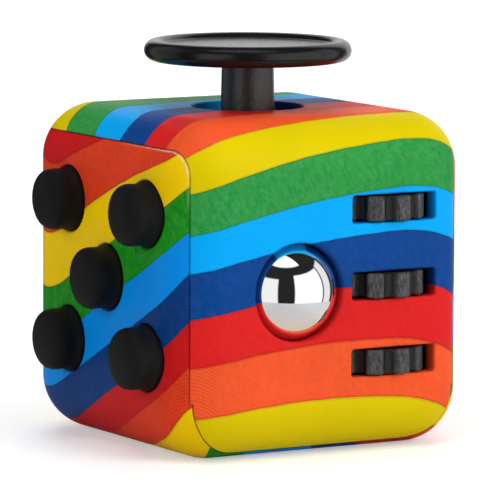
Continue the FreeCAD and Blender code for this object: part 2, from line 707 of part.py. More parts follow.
def rocker():
    """Two-way rocker: ends round its pivot, two sloping facets, a bore and a tail for the leaf spring."""
    rise = math.tan(math.radians(ROCKER_TILT_DEG))
    reach = 2 * ROCKER_R
    outline = [
        (-ROCKER_FLOOR, -reach),
        (ROCKER_CROWN + rise * reach, -reach),
        (ROCKER_CROWN, 0),
        (ROCKER_CROWN + rise * reach, reach),
        (-ROCKER_FLOOR, reach),
    ]
    corners = [ROCKER_PIVOT + Y * y + Z * z - X * ROCKER_HALF_X for y, z in outline]
    body = Part.Face(Part.makePolygon(corners + corners[:1])).extrude(X * 2 * ROCKER_HALF_X)
    body = body.common(rod(ROCKER_R, ROCKER_PIVOT - X * ROCKER_HALF_X, X, 2 * ROCKER_HALF_X))
    outer = [e for e in body.Edges if e.CenterOfMass.y > ROCKER_PIVOT_Y + ROCKER_CROWN * 0.6]
    body = body.makeFillet(ROCKER_EDGE_R, outer)
    tail = block(
        around(0, ROCKER_HALF_X * 0.5),
        (ROCKER_PIVOT_Y - ROCKER_TAIL, ROCKER_PIVOT_Y),
        around(HALF, ROCKER_TAIL_HALF),
    )
    bore = rod(ROCKER_PIN_R + SLIDE_GAP, ROCKER_PIVOT - X * ROCKER_HALF_X, X, 2 * ROCKER_HALF_X)
    switch = fuse([body, tail]).cut(bore)
    switch.rotate(ROCKER_PIVOT, X, -ROCKER_TILT_DEG)
    return switch


def rocker_pin():
    return rod(ROCKER_PIN_R, ROCKER_PIVOT - X * HOUSING_HALF_X, X, 2 * HOUSING_HALF_X)


def rocker_housing():
    """Open box behind the window that holds the pin, with four screw ears."""
    outer = block(
        around(0, HOUSING_HALF_X), (HOUSING_FRONT_Y, INNER - HOUSING_GAP), around(HALF, HOUSING_HALF_Z)
    )
    pocket = block(
        around(0, HOUSING_HALF_X - HOUSING_WALL),
        (HOUSING_FRONT_Y + HOUSING_WALL, HALF),
        around(HALF, HOUSING_HALF_Z - HOUSING_WALL),
    )
    ear_half = ROCKER_POST_X + POST_R
    ears = block(
        around(0, ear_half),
        (HOUSING_FRONT_Y, HOUSING_FRONT_Y + HOUSING_WALL),
        around(HALF, ROCKER_POST_Z + POST_R),
    )
    pin_hole = rod(ROCKER_PIN_R + 0.02, ROCKER_PIVOT - X * HOUSING_HALF_X, X, 2 * HOUSING_HALF_X)
    holes = [rod(SCREW_R, Vec(x, HOUSING_FRONT_Y, z), Y, HOUSING_WALL) for x, z in ROCKER_POSTS]
    return fuse([outer, ears]).cut([pocket, pin_hole] + holes)


def rocker_spring():
    """Leaf spring on the housing floor with a central ridge that the rocker's tail snaps over."""
    floor_y = HOUSING_FRONT_Y + HOUSING_WALL
    leaf = block(around(0, LEAF_HALF_X), (floor_y, floor_y + LEAF), around(HALF, ROCKER_POST_Z))
    ridge = rod(LEAF_RIDGE_R, Vec(-LEAF_HALF_X, floor_y, HALF), X, 2 * LEAF_HALF_X)
    return fuse([leaf, ridge]).cut(block((-HALF, HALF), (0, floor_y), (0, SIDE)))


# Dial


def spin_dial():
    """Finger dial with a scalloped rim, a fingertip dimple and a hub through the wall."""
    start = Vec(DIAL_START_X, 0, HALF)
    outer_x = HALF + DIAL_PROUD
    thickness = outer_x - DIAL_START_X
    disc = rod(DIAL_R, start, X, thickness)
    rim = [e for e in disc.Edges if e.BoundBox.XMin > outer_x - TOUCH and not e.Degenerated]
    disc = disc.makeFillet(DIAL_EDGE_R, rim)
    scallops = []
    for index in range(DIAL_GRIPS):
        angle = 2 * math.pi * index / DIAL_GRIPS
        out = Y * math.cos(angle) + Z * math.sin(angle)
        centre = Vec(HALF + DIAL_GRIP_START, 0, HALF) + out * (DIAL_R + DIAL_GRIP_OUT)
        scallops.append(rod(DIAL_GRIP_R, centre, X, thickness))
    dimple_x = outer_x + DIAL_DIMPLE_R - DIAL_DIMPLE_DEPTH
    dimple = Part.makeSphere(DIAL_DIMPLE_R, Vec(dimple_x, 0, HALF + DIAL_DIMPLE_OUT))
    hub_x = INNER - DIAL_GAP
    hub = rod(DIAL_HUB_R, Vec(hub_x, 0, HALF), X, DIAL_START_X - hub_x)
    bore = rod(SCREW_R, Vec(hub_x, 0, HALF), X, SCREW_GRIP - DIAL_WASHER)
    return fuse([disc.cut(scallops + [dimple]), hub]).cut(bore)


def dial_washer():
    start = Vec(INNER - DIAL_GAP - DIAL_WASHER, 0, HALF)
    return rod(DIAL_WASHER_R, start, X, DIAL_WASHER).cut(rod(SCREW_R, start, X, DIAL_WASHER))


def dial_screw():
    start = Vec(INNER - DIAL_GAP - DIAL_WASHER, 0, HALF)
    return screw(start, X, head_r=DIAL_SCREW_HEAD_R)


# Centre post and screws


def core_spigot(low):
    """The reduced end of the centre post."""
    return block(
        (CORE_X[0] + CORE_SPIGOT_INSET, CORE_X[1] - CORE_SPIGOT_INSET),
        (CORE_Y[0] + CORE_SPIGOT_INSET, CORE_Y[1] - CORE_SPIGOT_INSET),
        (low, low + CORE_SPIGOT),
    )


def core_post():
    """Square post from the floor boss up to the glide base."""
    low = WALL + DISH_DEPTH
    column = block(CORE_X, CORE_Y, (low, GLIDE_BASE_BOTTOM))
    return fuse([rounded(column, CORE_CORNER_R, Z), core_spigot(low - CORE_SPIGOT)])


def case_screws():
    screws = [screw(Vec(BUTTON_PLATE_X + BUTTON_PLATE, y, z), -X) for y, z in BUTTON_POSTS]
    screws += [screw(Vec(x, y, GLIDE_BASE_BOTTOM), Z) for x, y in GLIDE_POSTS]
    screws += [screw(Vec(x, BALL_BRACKET_Y + BALL_BRACKET, z), -Y) for x, z in BALL_POSTS]
    screws += [screw(Vec(GEAR_LUG_X, GEAR_BACK_Y + BRACKET_BACK, z), -Y) for z in GEAR_POST_HEIGHTS]
    screws += [screw(Vec(x, HOUSING_FRONT_Y, z), Y) for x, z in ROCKER_POSTS]
    return Part.makeCompound(screws)


def parts():
    """Every sub-part by name."""
    made = {
        "upper_shell": upper_shell(),
        "lower_shell": lower_shell(),
        "dome_sheet": dome_sheet(),
        "button_plate": button_plate(),
        "thumb_disc": thumb_disc(),
        "glide_stem": glide_stem(),
        "glide_flange": glide_flange(),
        "glide_screw": glide_screw(),
        "glide_guide": glide_guide(),
        "glide_base": glide_base(),
        "centring_ring": centring_ring(),
        "roller_ball": roller_ball(),
        "ball_cup": ball_cup(),
        "ball_spring": ball_spring(),
        "ball_bracket": ball_bracket(),
        "gear_axle": gear_axle(),
        "gear_bracket": gear_bracket(),
        "gear_detents": gear_detents(),
        "rocker": rocker(),
        "rocker_pin": rocker_pin(),
        "rocker_housing": rocker_housing(),
        "rocker_spring": rocker_spring(),
        "spin_dial": spin_dial(),
        "dial_washer": dial_washer(),
        "dial_screw": dial_screw(),
        "core_post": core_post(),
        "case_screws": case_screws(),
    }
    for number, (y, z) in enumerate(BUTTON_PLACES, start=1):
        made[f"button_{number}"] = button(y, z)
    for name, height in zip(GEAR_NAMES, GEAR_HEIGHTS):
        made[f"gear_{name}"] = gear(height)
    return made


os.makedirs("parts", exist_ok=True)
for name, shape in parts().items():
    print(f"{name}: {len(shape.Solids)} solid, {shape.Volume:.1f} mm3, valid {shape.isValid()}")
    shape.exportStep(os.path.join("parts", f"{name}.step"))
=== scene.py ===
"""Looks of a rainbow-printed fidget cube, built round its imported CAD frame.

The frame's origin is the centre of the cube's bottom face. Front (-Y) has a ball and three gears,
left (-X) five buttons, top (+Z) a thumb disc, right (+X) a dial and back (+Y) a rocker.
Lengths are in millimetres in the shape and pattern code, and MM turns them into metres.
"""

import json
import math

import bmesh
import bpy
from mathutils import Matrix, Vector


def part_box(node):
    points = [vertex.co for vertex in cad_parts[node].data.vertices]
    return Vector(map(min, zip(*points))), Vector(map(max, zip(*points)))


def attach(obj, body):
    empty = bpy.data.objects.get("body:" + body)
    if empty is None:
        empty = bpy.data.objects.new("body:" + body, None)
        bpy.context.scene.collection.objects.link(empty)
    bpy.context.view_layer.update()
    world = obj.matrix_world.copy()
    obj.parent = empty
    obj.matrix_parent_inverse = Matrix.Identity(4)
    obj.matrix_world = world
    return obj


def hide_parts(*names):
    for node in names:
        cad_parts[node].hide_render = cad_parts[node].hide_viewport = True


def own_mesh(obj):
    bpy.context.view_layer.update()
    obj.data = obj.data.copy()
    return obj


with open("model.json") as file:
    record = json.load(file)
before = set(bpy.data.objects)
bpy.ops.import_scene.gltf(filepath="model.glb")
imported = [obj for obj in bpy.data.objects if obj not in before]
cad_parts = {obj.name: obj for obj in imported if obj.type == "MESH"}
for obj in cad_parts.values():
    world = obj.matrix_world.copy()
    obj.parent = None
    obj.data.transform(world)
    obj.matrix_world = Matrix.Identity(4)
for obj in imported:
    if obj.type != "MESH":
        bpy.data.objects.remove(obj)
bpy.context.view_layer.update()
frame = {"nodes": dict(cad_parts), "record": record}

MM = 0.001


def middle_of(node):
    low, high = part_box(node)
    return (low + high) / 2 / MM


def size_of(node):
    low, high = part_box(node)
    return (high - low) / MM


# The cube, from the frame
HALF = round(size_of("lower_shell").x / 2, 2)
SIDE = 2 * HALF
EDGE_R = 5.5
FLAT = HALF - EDGE_R
PANEL_TOP = 30.3
PANEL_HALF = 14.75
PANEL_CORNER_R = 2.6
GEAR_AXIS = middle_of("gear_axle")


# Numbers worked out at every surface point


class Field:
    """A number that differs over a surface, made by a chain of Math nodes."""

    def __init__(self, tree, socket):
        self.tree = tree
        self.socket = socket

    def math(self, operation, *others):
        node = self.tree.nodes.new("ShaderNodeMath")
        node.operation = operation
        for index, item in enumerate((self, *others)):
            plug(self.tree, item, node.inputs[index])
        return Field(self.tree, node.outputs[0])

    def __add__(self, other):
        return self.math("ADD", other)

    def __sub__(self, other):
        return self.math("SUBTRACT", other)

    def __mul__(self, other):
        return self.math("MULTIPLY", other)

    def __truediv__(self, other):
        return self.math("DIVIDE", other)

    def __radd__(self, other):
        return self.math("ADD", other)

    def __rsub__(self, other):
        return self.math("MULTIPLY_ADD", -1.0, other)

    __rmul__ = __mul__

    def past(self, limit):
        """How far the number is above a limit, or 0."""
        return (self - limit).math("MAXIMUM", 0.0)

    def size(self):
        return self.math("ABSOLUTE")

    def ramp(self, start, end, low=0.0, high=1.0, smooth=False):
        """Runs from low to high as the number goes from start to end, and stays there."""
        node = self.tree.nodes.new("ShaderNodeMapRange")
        node.interpolation_type = "SMOOTHSTEP" if smooth else "LINEAR"
        self.tree.links.new(self.socket, node.inputs["Value"])
        names = ("From Min", "From Max", "To Min", "To Max")
        for name, value in zip(names, (start, end, low, high)):
            node.inputs[name].default_value = value
        return Field(self.tree, node.outputs["Result"])


def plug(tree, item, socket):
    """Links a field or a socket to an input, or sets a plain value on it."""
    if isinstance(item, Field):
        tree.links.new(item.socket, socket)
    elif isinstance(item, bpy.types.NodeSocket):
        tree.links.new(item, socket)
    else:
        socket.default_value = item


def position(tree):
    """Place on the resting object in millimetres, as three fields."""
    coordinates = tree.nodes.new("ShaderNodeTexCoord")
    split = tree.nodes.new("ShaderNodeSeparateXYZ")
    tree.links.new(coordinates.outputs["Object"], split.inputs[0])
    return [Field(tree, output) / MM for output in split.outputs]


def vector(tree, x, y, z):
    node = tree.nodes.new("ShaderNodeCombineXYZ")
    for item, socket in zip((x, y, z), node.inputs):
        plug(tree, item, socket)
    return node.outputs[0]


def noise(tree, place, grain, detail=2.0, roughness=0.5):
    """Soft noise from 0 to 1 whose lumps are about one grain wide, in millimetres."""
    node = tree.nodes.new("ShaderNodeTexNoise")
    tree.links.new(place, node.inputs["Vector"])
    node.inputs["Scale"].default_value = 1.0 / grain
    node.inputs["Detail"].default_value = detail
    node.inputs["Roughness"].default_value = roughness
    return Field(tree, node.outputs[0])


def mix(tree, share, first, second):
    """Two colours mixed by a share from 0 to 1."""
    return blend(tree, "MIX", share, first, second)


def tinted(tree, colour, tint):
    """A colour multiplied by another."""
    return blend(tree, "MULTIPLY", 1.0, colour, tint)


def blend(tree, kind, share, first, second):
    node = tree.nodes.new("ShaderNodeMixRGB")
    node.blend_type = kind
    for item, socket in zip((share, first, second), node.inputs):
        plug(tree, item, socket)
    return node.outputs[0]


def steps(tree, field, colours):
    """Picks one of several colours by the whole part of a field."""
    node = tree.nodes.new("ShaderNodeValToRGB")
    node.color_ramp.interpolation = "CONSTANT"
    stops = node.color_ramp.elements
    while len(stops) < len(colours):
        stops.new(1.0)
    for index, (stop, colour) in enumerate(zip(stops, colours)):
        stop.position = index / len(colours)
        stop.color = colour
    middle = (field.math("FLOOR") + 0.5) / float(len(colours))
    tree.links.new(middle.socket, node.inputs[0])
    return node.outputs[0]


def srgb(red, green, blue):
    """Linear colour of 8-bit screen values."""
    linear = []
    for value in (red, green, blue):
        share = value / 255
        linear.append(share / 12.92 if share <= 0.04045 else ((share + 0.055) / 1.055) ** 2.4)
    return (*linear, 1.0)


def grey(value):
    return (value, value, value, 1.0)


def new_material(name):
    material = bpy.data.materials.new(name)
    material.use_nodes = True
    tree = material.node_tree
    return material, tree, tree.nodes["Principled BSDF"]


def bump(tree, height, depth, under=None):
    """Normal of a height field from 0 to 1 that is so many millimetres deep."""
    node = tree.nodes.new("ShaderNodeBump")
    node.inputs["Strength"].default_value = 1.0
    node.inputs["Distance"].default_value = depth * MM
    plug(tree, height, node.inputs["Height"])
    if under is not None:
        tree.links.new(under, node.inputs["Normal"])
    return node.outputs[0]


# The rainbow print

# The inks in the order of the bands, each shell's colours for them, and how far each ink is
# mottled and hatched
INK_NAMES = ["green", "yellow", "orange", "red", "navy", "sky"]
UPPER_INKS = [
    srgb(38, 147, 66),
    srgb(226, 203, 0),
    srgb(238, 86, 40),
    srgb(226, 34, 33),
    srgb(6, 66, 140),
    srgb(0, 174, 255),
]
LOWER_INKS = [
    srgb(14, 138, 16),
    srgb(250, 208, 0),
    srgb(218, 60, 24),
    srgb(205, 20, 22),
    srgb(2, 55, 121),
    srgb(0, 144, 238),
]
MOTTLE = [1.0, 0.0, 0.40, 0.15, 0.25, 0.05]
HATCH = [0.45, 0.0, 0.55, 0.08, 0.60, 0.0]

# Ends of the bands of each shell, along its band height, and the first band's ink
UPPER_ENDS = [-5.3, 0.2, 5.7, 11.2, 16.4, 21.3, 25.3, 30.0, 35.0, 42.2, 47.3, 52.2, 56.8, 62.8]
UPPER_FIRST = INK_NAMES.index("green")
LOWER_ENDS = [-36.0, -29.0, -23.0, -15.0, -10.0, -3.7, 0.6, 4.9, 9.6, 14.2, 19.5, 24.8, 30.7]
LOWER_FIRST = INK_NAMES.index("red")
LATER_BAND = 5.3
FURTHEST = 150.0

# Where the bands start to turn over an edge, and the reach of that turn
TURN_FROM = 10.5
TURN_R = HALF - TURN_FROM

# How the upper shell's bands slant, bow and lift beside the left seam
UPPER_SLANT_FROM = 5.0
UPPER_SLANT = 0.0067
UPPER_SLANT_MOST = 0.2
UPPER_BOW = 0.006
UPPER_RIGHT_FROM = 8.0
UPPER_RIGHT_BOW = 0.025
SEAM_FADE = 2.5
SEAM_LIFTS = [
    # band heights between which the lift grows, its gain in millimetres, and whether it is eased
    (20.0, 30.0, 0.85, False),
    (33.0, 35.0, 3.15, True),
    (46.5, 54.5, -8.0, True),
]

# How the lower shell's bands slant and curve towards the front and rear edges
LOWER_SLANT = 0.5
LOWER_SLANT_FROM = 20.0
LOWER_SLANT_LOSS = 0.015
LOWER_FRONT_FROM = 11.0
LOWER_FRONT_BOW = 0.115
LOWER_REAR_FROM = 8.0
LOWER_REAR_BOW = 0.04
LOWER_REAR_BOW_GAIN = 0.0019

# Shades that the crayon marks are made with
DARKER = (0.55, 0.62, 0.62, 1.0)
LIGHTER = (1.35, 1.35, 1.35, 1.0)
WARMER = (2.2, 1.12, 0.8, 1.0)
PALE = grey(0.8)
PALE_SHARE = 0.16

# Crayon marks: grain or pitch in millimetres, the noise over which a mark grows, and its share
BLOTCH_GRAIN, BLOTCH_NOISE, BLOTCH_SHARE = 0.6, (0.44, 0.60), 0.6
STROKE_GRAIN, STROKE_NOISE, STROKE_SHARE = 0.6, (0.42, 0.76), 0.5
CLOUD_GRAIN, CLOUD_NOISE, CLOUD_SHARE = 5.0, (0.35, 0.65), 0.10
WARM_SHARE = 0.45
HATCH_PITCH = 0.3

# Borders of the bands: how far they wobble, where their dark line grows, and its share
WOBBLE_GRAIN, WOBBLE = 2.2, 0.22
BORDER_FROM, BORDER_TO = 0.455, 0.492
BORDER_SHARE = 0.5

# Surface of the print: roughness and gloss, and the grain and depth of two layers of bumps
PRINT_ROUGH = 0.42
PRINT_SPECULAR = 0.07
FINE_GRAIN, FINE_DEPTH = 0.35, 0.006
PEEL_GRAIN, PEEL_DEPTH = 1.6, 0.012
EASED_R = 0.15

# Painted highlight along the inside of the panel's upper front corner, and the depth at which the
# print ends
HIGHLIGHT_FROM, HIGHLIGHT_TO = -0.22, -0.08
HIGHLIGHT_UP = (24.5, 29.5)
HIGHLIGHT_FORWARD = (-2.0, -9.0)
HIGHLIGHT_COLOUR = srgb(255, 236, 205)
HIGHLIGHT_SHARE = 0.45
SKIN_FROM, SKIN_TO = 1.2, 1.9
SKIN_INSIDE = 0.03


def over_edge(across, over):
    """Share of the way round a rounded edge: 0 on the first face and 1 on the second."""
    near = across.past(0.0)
    far = over.past(0.0)
    return far / (near + far + 1e-4)


def upper_height(x, y, z):
    """Height along the upper shell's bands: up the front, back over the top and down the back."""
    turn = over_edge(y.size() - TURN_FROM, z - (SIDE - TURN_R))
    front = z + (y + HALF) * turn
    back = (3 * SIDE) - z - (HALF - y) * turn
    on_back = y.math("GREATER_THAN", 0.0)
    height = front + (back - front) * on_back
    slant = ((height - UPPER_SLANT_FROM) * UPPER_SLANT).past(0.0).math("MINIMUM", UPPER_SLANT_MOST)
    lift = sum(
        height.ramp(start, end, 0.0, gain, smooth=eased) for start, end, gain, eased in SEAM_LIFTS
    )
    sweep = lift * ((x + HALF) / -SEAM_FADE).math("EXPONENT")
    right = x.past(UPPER_RIGHT_FROM)
    return height - slant * x + x * x * UPPER_BOW + right * right * UPPER_RIGHT_BOW + sweep


def lower_height(x, y, z):
    """Height along the lower shell's bands: down the left, under the cube and up the right."""
    turn = over_edge(x.size() - TURN_FROM, TURN_R - z)
    left = z - (x + HALF) * turn
    right = 0.0 - SIDE - z + (HALF - x) * turn
    on_right = x.math("GREATER_THAN", 0.0)
    height = left + (right - left) * on_right
    slant = LOWER_SLANT - z.past(LOWER_SLANT_FROM) * LOWER_SLANT_LOSS
    front = (0.0 - y).past(LOWER_FRONT_FROM)
    rear = y.past(LOWER_REAR_FROM)
    levelled = rear * rear * (z * LOWER_REAR_BOW_GAIN + LOWER_REAR_BOW)
    return height + slant * y - front * front * LOWER_FRONT_BOW - levelled


def band_number(tree, height, ends):
    """Turns height along the bands into a number that gains 1 at each band's end."""
    ends = list(ends)
    while ends[-1] < FURTHEST:
        ends.append(ends[-1] + LATER_BAND)
    while ends[0] > -FURTHEST:
        ends.insert(0, ends[0] - LATER_BAND)
    low, high = ends[0], ends[-1]
    node = tree.nodes.new("ShaderNodeFloatCurve")
    curve = node.mapping.curves[0]
    node.mapping.use_clip = False
    while len(curve.points) < len(ends):
        curve.points.new(0.5, 0.5)
    for index, (point, end) in enumerate(zip(curve.points, ends)):
        point.location = ((end - low) / (high - low), index / (len(ends) - 1))
        point.handle_type = "VECTOR"
    node.mapping.update()
    tree.links.new(((height - low) / (high - low)).socket, node.inputs["Value"])
    return Field(tree, node.outputs[0]) * float(len(ends) - 1)


def panel_highlight(y, z):
    """Painted highlight mask: 1 along the upper front corner of the side panels' outline and 0
    elsewhere.
    """
    across = y.size() - (PANEL_HALF - PANEL_CORNER_R)
    up = z - (PANEL_TOP - PANEL_CORNER_R)
    corner = (across.past(0.0).math("POWER", 2.0) + up.past(0.0).math("POWER", 2.0)).math("SQRT")
    inside = across.math("MAXIMUM", up).math("MINIMUM", 0.0)
    near = (corner + inside - PANEL_CORNER_R).ramp(HIGHLIGHT_FROM, HIGHLIGHT_TO, smooth=True)
    return near * z.ramp(*HIGHLIGHT_UP) * y.ramp(*HIGHLIGHT_FORWARD)


def print_material(name, height_of, ends, first, inks, rim=None):
    """Satin shell plastic under a wrapped print of crayon-like bands."""
    material, tree, shader = new_material(name)
    x, y, z = position(tree)
    place = vector(tree, x, y, z)
    wobble = (noise(tree, place, WOBBLE_GRAIN, 3.0) - 0.5) * WOBBLE
    height = height_of(x, y, z) + wobble
    added = math.ceil((ends[0] + FURTHEST) / LATER_BAND)
    number = band_number(tree, height, ends) + float((first - added) % len(inks))
    within = number.math("FLOORED_MODULO", float(len(inks)))
    ink = steps(tree, within, inks)
    mottle = Field(tree, steps(tree, within, [grey(value) for value in MOTTLE]))
    hatch = Field(tree, steps(tree, within, [grey(value) for value in HATCH]))

    blotch = noise(tree, place, BLOTCH_GRAIN, 6.0, 0.75).ramp(*BLOTCH_NOISE)
    slanted = vector(tree, x + z * 0.6, y * 1.2, z * 0.35 - x * 0.4)
    strokes = noise(tree, slanted, STROKE_GRAIN, 5.0, 0.7).ramp(*STROKE_NOISE)
    cloud = noise(tree, place, CLOUD_GRAIN, 3.0).ramp(*CLOUD_NOISE)
    lines = ((x + y + z * 0.85) * (2 * math.pi / HATCH_PITCH)).math("SINE").ramp(-0.4, 0.9)
    dark = tinted(tree, ink, DARKER)
    light = tinted(tree, ink, LIGHTER)
    pale = mix(tree, PALE_SHARE, light, PALE)
    warm = tinted(tree, ink, WARMER)
    colour = mix(tree, mottle * blotch * BLOTCH_SHARE, ink, dark)
    colour = mix(tree, mottle * strokes * STROKE_SHARE, colour, pale)
    colour = mix(tree, mottle * mottle * (1.0 - cloud) * WARM_SHARE, colour, warm)
    colour = mix(tree, hatch * lines, colour, light)
    colour = mix(tree, cloud * CLOUD_SHARE, colour, dark)

    edge = number.math("FRACT")
    border = (edge - 0.5).size().ramp(BORDER_FROM, BORDER_TO, smooth=True)
    colour = mix(tree, border * BORDER_SHARE, colour, dark)

    # rim gives the mask of a painted highlight along the panels' upper front corner, which noise
    # breaks up
    if rim is not None:
        painted_highlight = rim(y, z) * noise(tree, place, 1.2, 4.0).ramp(0.35, 0.6, 0.25, 1.0)
        colour = mix(tree, painted_highlight * HIGHLIGHT_SHARE, colour, HIGHLIGHT_COLOUR)

    reach = [axis.size().past(FLAT) for axis in (x, y, z - HALF)]
    sunk = EDGE_R - (reach[0] * reach[0] + reach[1] * reach[1] + reach[2] * reach[2]).math("SQRT")
    colour = mix(tree, sunk.ramp(SKIN_FROM, SKIN_TO, smooth=True), colour, grey(SKIN_INSIDE))
    tree.links.new(colour, shader.inputs["Base Color"])

    rough = blotch * mottle * 0.08 + cloud * 0.05 + PRINT_ROUGH
    tree.links.new(rough.socket, shader.inputs["Roughness"])
    eased = tree.nodes.new("ShaderNodeBevel")
    eased.samples = 4
    eased.inputs["Radius"].default_value = EASED_R * MM
    fine = bump(tree, noise(tree, place, FINE_GRAIN, 3.0), FINE_DEPTH, under=eased.outputs[0])
    peel = bump(tree, noise(tree, place, PEEL_GRAIN, 2.0), PEEL_DEPTH, under=fine)
    tree.links.new(peel, shader.inputs["Normal"])
    shader.inputs["Specular IOR Level"].default_value = PRINT_SPECULAR
    return material


# Plain materials

# Radii between which the painted shade in a gear's tooth valleys fades out towards the crest, and
# the tone of that painted shade
TOOTH_VALLEY_R = 4.45
TOOTH_CREST_R = 4.95
VALLEY_SHADE = 0.004

# Width of a plastic's soft clouds, in grains
CLOUD_GRAINS = 14


def plastic(name, dark, light, grain, rough, depth, specular=0.5, crest=None, drawn=1.0):
    """Moulded plastic or rubber with a fine grain in its colour, gloss and surface.

    Grain and depth are in millimetres. drawn below 1 stretches the grain along Z, and crest
    gives painted shade to the parts where it gives 0.
    """
    material, tree, shader = new_material(name)
    x, y, z = position(tree)
    place = vector(tree, x, y, z * drawn)
    fine = noise(tree, place, grain, 5.0, 0.6)
    cloud = noise(tree, place, grain * CLOUD_GRAINS, 3.0)
    speck = fine.ramp(0.4, 0.68)
    colour = mix(tree, speck * 0.7 + cloud.ramp(0.3, 0.7) * 0.3, dark, light)
    if crest is not None:
        # painted shade: where crest gives 0 the colour turns to the valley's dark tone
        colour = mix(tree, crest(x, y), grey(VALLEY_SHADE), colour)
    tree.links.new(colour, shader.inputs["Base Color"])
    gloss = fine.ramp(0.3, 0.7) * 0.12 + cloud * 0.06 + (rough - 0.08)
    tree.links.new(gloss.socket, shader.inputs["Roughness"])
    tree.links.new(bump(tree, fine, depth), shader.inputs["Normal"])
    shader.inputs["Specular IOR Level"].default_value = specular
    return material


def gear_crest(x, y):
    """Share left unshaded: 0 in the gears' tooth valleys, which get painted shade, and 1 on the
    crests of their teeth.
    """
    out_x, out_y = x - GEAR_AXIS.x, y - GEAR_AXIS.y
    return (out_x * out_x + out_y * out_y).math("SQRT").ramp(TOOTH_VALLEY_R, TOOTH_CREST_R)


def metal(name, colour, rough, grain, depth, marks=0.82, drawn=1.0):
    """Metal with fine marks that darken it to a share of its colour.

    Grain and depth are in millimetres, and drawn above 1 flattens the marks along Z.
    """
    material, tree, shader = new_material(name)
    x, y, z = position(tree)
    place = vector(tree, x, y, z * drawn)
    marked = noise(tree, place, grain, 4.0, 0.65)
    darker = (*[value * marks for value in colour[:3]], 1.0)
    tree.links.new(mix(tree, marked.ramp(0.3, 0.75), colour, darker), shader.inputs["Base Color"])
    gloss = marked.ramp(0.35, 0.8) * rough + rough * 0.6
    tree.links.new(gloss.socket, shader.inputs["Roughness"])
    tree.links.new(bump(tree, marked, depth), shader.inputs["Normal"])
    shader.inputs["Metallic"].default_value = 1.0
    return material


# gear teeth, with painted shade in their valleys through gear_crest
GEAR_BLACK = plastic(
    "gear_teeth", grey(0.004), grey(0.13), grain=0.20, rough=0.36, depth=0.07,
    specular=0.4, crest=gear_crest, drawn=0.35,
)

# Keyed by material slot, or by node where one node's finish differs from the rest of its slot
MATERIALS = {
    "upper_shell": print_material("print_upper", upper_height, UPPER_ENDS, UPPER_FIRST, UPPER_INKS),
    "lower_shell": print_material(
        "print_lower", lower_height, LOWER_ENDS, LOWER_FIRST, LOWER_INKS, rim=panel_highlight,
    ),
    "soft_black": plastic(
        "button_silicone", grey(0.005), grey(0.009), grain=0.12, rough=0.60, depth=0.004,
        specular=0.16,
    ),
    "disc_black": plastic(
        "disc_plastic", grey(0.005), grey(0.011), grain=0.10, rough=0.22, depth=0.002,
        specular=0.36,
    ),
    "glide_stem": plastic(
        "stem_plastic", grey(0.006), grey(0.022), grain=0.26, rough=0.33, depth=0.05,
        specular=0.9,
    ),
    "gear_black": plastic(
        "gear_nylon", grey(0.014), grey(0.05), grain=0.16, rough=0.40, depth=0.014,
        specular=0.4,
    ),
    **{f"gear_{level}": GEAR_BLACK for level in ("bottom", "middle", "top")},
    "inner_plastic": plastic(
        "inner_plastic", grey(0.02), grey(0.035), grain=0.5, rough=0.5, depth=0.01,
    ),
    "clear_silicone": plastic(
        "pale_silicone", grey(0.42), grey(0.55), grain=0.5, rough=0.45, depth=0.01,
    ),
    "ball_chrome": metal(
        "ball_chrome", (0.94, 0.94, 0.95, 1.0), rough=0.012, grain=0.4, depth=0.0, marks=0.96,
    ),
    "steel": metal(
        "zinc_steel", (0.55, 0.55, 0.57, 1.0), rough=0.28, grain=0.15, depth=0.003, drawn=8.0,
    ),
}

SLOTS = {part["node"]: part["material_slot"] for part in frame["record"]["subparts"]}


def paint(piece, material):
    piece.data.materials.clear()
    piece.data.materials.append(material)


for node, piece in frame["nodes"].items():
    paint(piece, MATERIALS.get(node) or MATERIALS[SLOTS[node]])


# Springy inner pieces: copies of the CAD nodes, as pieces of their own

DOME_SHEET_THICK = 0.4
DOME_CUT_ABOVE = 0.02
DOME_REACH = 2.6
WELD = 1e-7
BUTTONS = 5


def press_travel(joint):
    """How far a sliding joint goes in from rest, in millimetres."""
    joints = frame["record"]["behaviour"]["joints"]
    return max(item["range_m"][1] for item in joints if item["name"] == joint) / MM


def soft_copy(name, node, trim=None):
    """Copy of a node of the case, as a piece of its own that stands for it."""
    source = frame["nodes"][node]
    mesh = source.data.copy()
    if trim is not None:
        shape = bmesh.new()
        shape.from_mesh(mesh)
        bmesh.ops.remove_doubles(shape, verts=shape.verts, dist=WELD)
        trim(shape)
        bmesh.ops.recalc_face_normals(shape, faces=shape.faces)
        shape.to_mesh(mesh)
        shape.free()
    piece = bpy.data.objects.new(name, mesh)
    bpy.context.scene.collection.objects.link(piece)
    piece.matrix_world = source.matrix_world.copy()
    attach(piece, "case")
    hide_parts(node)
    paint(piece, MATERIALS[SLOTS[node]])
    return piece


def cut_at(shape, x, keep_front):
    """Cuts a closed shape across X, keeps its -X side or the other, and closes it again."""
    geometry = [*shape.verts, *shape.edges, *shape.faces]
    result = bmesh.ops.bisect_plane(
        shape, geom=geometry, dist=WELD, plane_co=(x * MM, 0, 0), plane_no=(1, 0, 0),
        clear_inner=not keep_front, clear_outer=keep_front,
    )
    rim = [item for item in result["geom_cut"] if isinstance(item, bmesh.types.BMEdge)]
    bmesh.ops.triangle_fill(shape, use_beauty=True, edges=rim)


